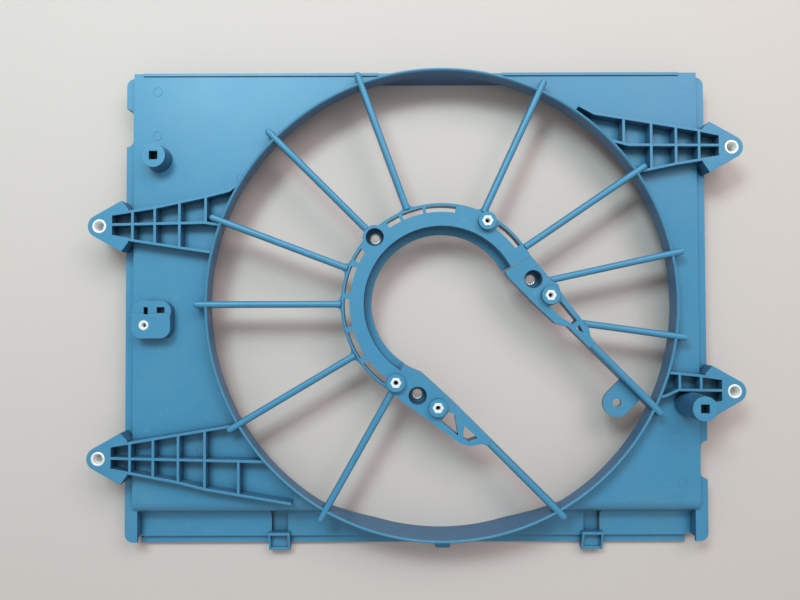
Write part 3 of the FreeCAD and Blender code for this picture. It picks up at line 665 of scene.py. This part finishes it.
@dataclass
class TappedInserts:
    """Pressed-in inserts with a grooved bore; those at the hub are six-sided."""

    minor: float = 1.65
    major: float = 2.0
    pitch: float = 0.7
    chamfer: float = 0.35
    mouth: float = 0.1
    round_within: float = 0.2
    first_crest: float = 0.9
    root_drop: float = 0.5
    nodes: tuple[str, ...] = ("hub_insert_top", "hub_insert_right", "hub_insert_left",
                              "hub_insert_bottom", "bracket_insert")
    round_nodes: tuple[str, ...] = ("bracket_insert",)

    def six_sided(self, radius: float, angle: float) -> float:
        """Stretches a round to a hexagon.

        Args:
            radius: Distance from the axis; the thread stays round.
            angle: Direction from the axis.

        Returns:
            Factor for the radius.
        """
        if radius < (self.major + self.round_within) * MM:
            return 1.0
        sixth = math.pi / 3
        return 1.0 / math.cos(angle % sixth - sixth / 2)

    def build(self, finish: bpy.types.Material) -> None:
        """Builds each insert in the place of its plain node.

        Args:
            finish: The inserts' metal.
        """
        cut = self.chamfer * MM
        for node in self.nodes:
            low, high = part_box(node)
            outer = (high.y - low.y) / 2
            height = high.z - low.z
            profile = [(self.minor * MM, 0.0), (outer - cut, 0.0), (outer, cut),
                       (outer, height - cut), (outer - cut, height),
                       ((self.major + self.mouth) * MM, height)]
            turns = int(height / (self.pitch * MM)) - 1
            for turn in range(turns):
                crest = height - (turn + self.first_crest) * self.pitch * MM
                profile.append((self.minor * MM, crest))
                profile.append((self.major * MM, crest - self.root_drop * self.pitch * MM))
            centre = Vector(((low.x + high.x) / 2, (low.y + high.y) / 2, low.z))
            shape = None if node in self.round_nodes else self.six_sided
            mesh = surface_of_turning(profile, centre, reach=shape)
            piece = add_piece(f"{node}_nut", mesh, finish)
            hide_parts(node)


# ------------------------------------------------------------------ studio


@dataclass(frozen=True)
class SoftLamp:
    """One rectangular soft light, aimed at the fan axis."""

    name: str
    place: tuple[float, float, float]
    size: tuple[float, float]
    power: float
    tint: Colour

    def hang(self) -> None:
        """Hangs the lamp."""
        data = bpy.data.lights.new(self.name, "AREA")
        data.shape = "RECTANGLE"
        data.size, data.size_y = self.size
        data.energy = self.power
        data.color = self.tint
        lamp = bpy.data.objects.new(self.name, data)
        bpy.context.scene.collection.objects.link(lamp)
        lamp.location = self.place
        aim = Vector((0.0, 0.0, 0.0)) - Vector(self.place)
        lamp.rotation_mode = "QUATERNION"
        lamp.rotation_quaternion = aim.to_track_quat("-Z", "Y")


@dataclass
class Studio:
    """Floor, soft light and camera."""

    camera_place: tuple[float, float, float] = (-29.44, -6.02, 454.0)
    camera_tilt: float = 1.150
    camera_roll: float = -0.17
    lens: float = 28.2
    sensor_width: float = 36.0
    clip: Span = (0.01, 50.0)
    floor_size: float = 6.0
    floor_gap: float = 0.0002
    room_colour: Colour = (0.93, 0.96, 1.0)
    room_strength: float = 0.55
    lamps: tuple[SoftLamp, ...] = (
        SoftLamp("window", (-0.36, 0.62, 0.92), (0.45, 0.3), 8.5, (0.66, 0.95, 1.0)),
        SoftLamp("sky", (0.42, 0.80, 0.98), (1.1, 0.6), 9.0, (1.0, 0.97, 1.0)),
        SoftLamp("fill", (0.5, -0.8, 1.6), (1.2, 1.2), 0.6, (1.0, 0.96, 0.92)))

    def build(self) -> None:
        """Builds the floor, the light and the camera."""
        bpy.context.scene.view_settings.view_transform = "Standard"
        self.lay_floor()
        self.hang_lights()
        self.set_camera()

    def lay_floor(self) -> None:
        """Lays the floor just under the shroud."""
        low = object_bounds()[0].z - self.floor_gap
        half = self.floor_size / 2
        mesh = bpy.data.meshes.new("floor")
        mesh.from_pydata([(-half, -half, low), (half, -half, low), (half, half, low),
                          (-half, half, low)], [], [(0, 1, 2, 3)])
        floor = bpy.data.objects.new("floor", mesh)
        bpy.context.scene.collection.objects.link(floor)
        mesh.materials.append(PaleFloor().make())
        floor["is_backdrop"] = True

    def hang_lights(self) -> None:
        """Hangs the lamps towards the top edge and the weak one opposite, and sets a pale room."""
        for lamp in self.lamps:
            lamp.hang()
        world = bpy.data.worlds.new("room")
        world.use_nodes = True
        background = world.node_tree.nodes["Background"]
        background.inputs["Color"].default_value = as_colour(self.room_colour)
        background.inputs["Strength"].default_value = self.room_strength
        bpy.context.scene.world = world

    def set_camera(self) -> None:
        """Sets the camera over the shroud, looking almost straight down."""
        data = bpy.data.cameras.new("overhead")
        data.lens = self.lens
        data.sensor_width = self.sensor_width
        data.clip_start, data.clip_end = self.clip
        camera = bpy.data.objects.new("overhead", data)
        bpy.context.scene.collection.objects.link(camera)
        camera.location = [value * MM for value in self.camera_place]
        camera.rotation_euler = (math.radians(self.camera_tilt), 0.0,
                                 math.radians(self.camera_roll))
        bpy.context.scene.camera = camera


def main() -> None:
    """Builds the dressed shroud and its studio."""
    logging.basicConfig(level=logging.INFO, format="%(message)s")
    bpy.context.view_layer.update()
    Moulding().dress()
    EjectorMarks().build(bpy.data.materials["shroud_plastic_formed"])
    SpokeFillets().build(bpy.data.materials["shroud_plastic_formed"])
    SteelSleeves().build(TurnedMetal("limiter_steel").make())
    TappedInserts().build(TurnedMetal("insert_metal", bright=(0.9, 0.91, 0.92)).make())
    Studio().build()


if __name__ == "__main__":
    main()
